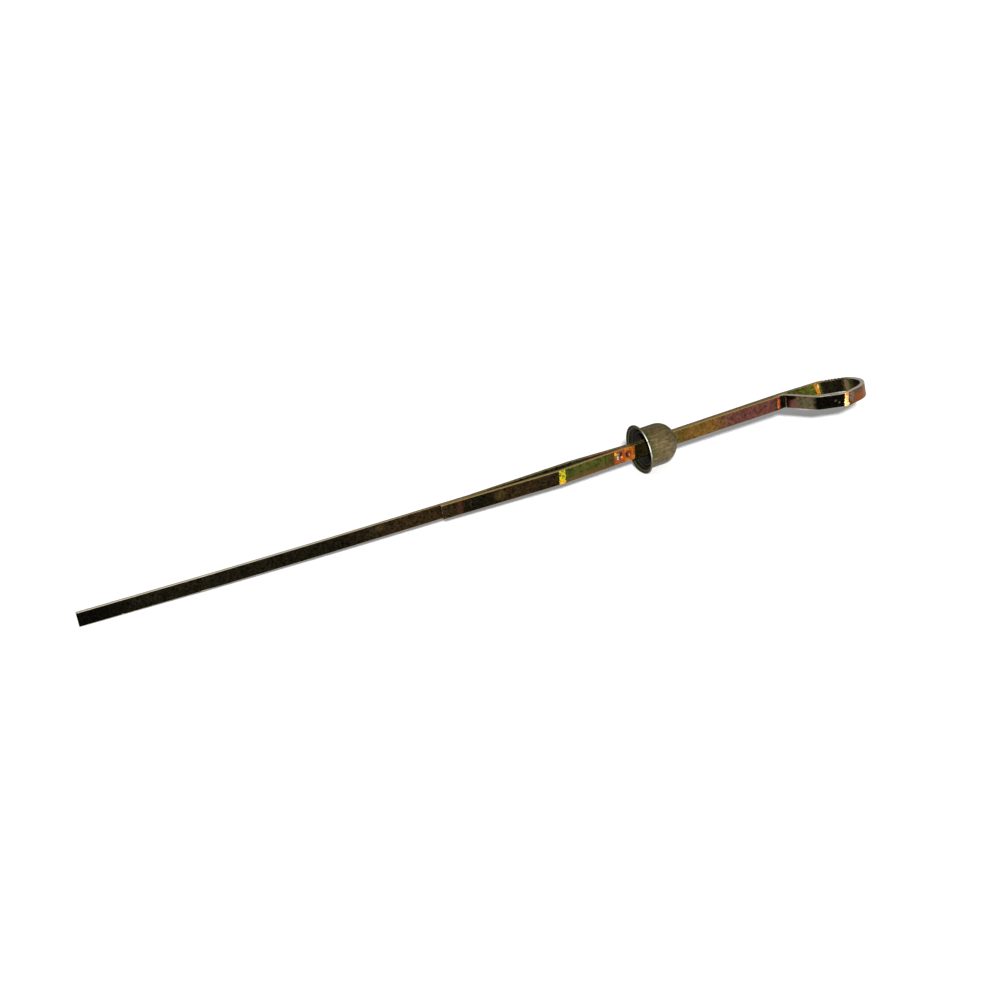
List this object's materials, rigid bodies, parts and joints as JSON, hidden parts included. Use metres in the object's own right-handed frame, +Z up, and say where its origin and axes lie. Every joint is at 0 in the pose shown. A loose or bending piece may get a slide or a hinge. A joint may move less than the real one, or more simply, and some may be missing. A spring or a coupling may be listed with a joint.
{
  "type": "engine oil dipstick",
  "caption": "Plated flat steel strip with scribed level lines, a bowed tube spring, a flared bell cap with a rubber seal, and a folded finger ring.",
  "frame": {"origin": "centre of the cap's mouth, where the dipstick tube enters", "axes": "+X along the handle towards the finger ring, the blade's tip towards -X, +Z up as the part rests on its edge, the strip's width nearly along Z"},
  "size_m": [0.2789, 0.0412, 0.0172],
  "materials": {
    "strip_plating": "yellow chromate over zinc, olive to bronze, satin, sheared edges duller",
    "cap_plating": "yellow chromate over zinc, olive tan, with fine drawing streaks and a bright lip",
    "seal_rubber": "black rubber, matt"
  },
  "bodies": {
    "root": {"dipstick_strip": "strip_plating", "tube_cap": "cap_plating", "cap_seal": "seal_rubber"}
  },
  "joints": []
}
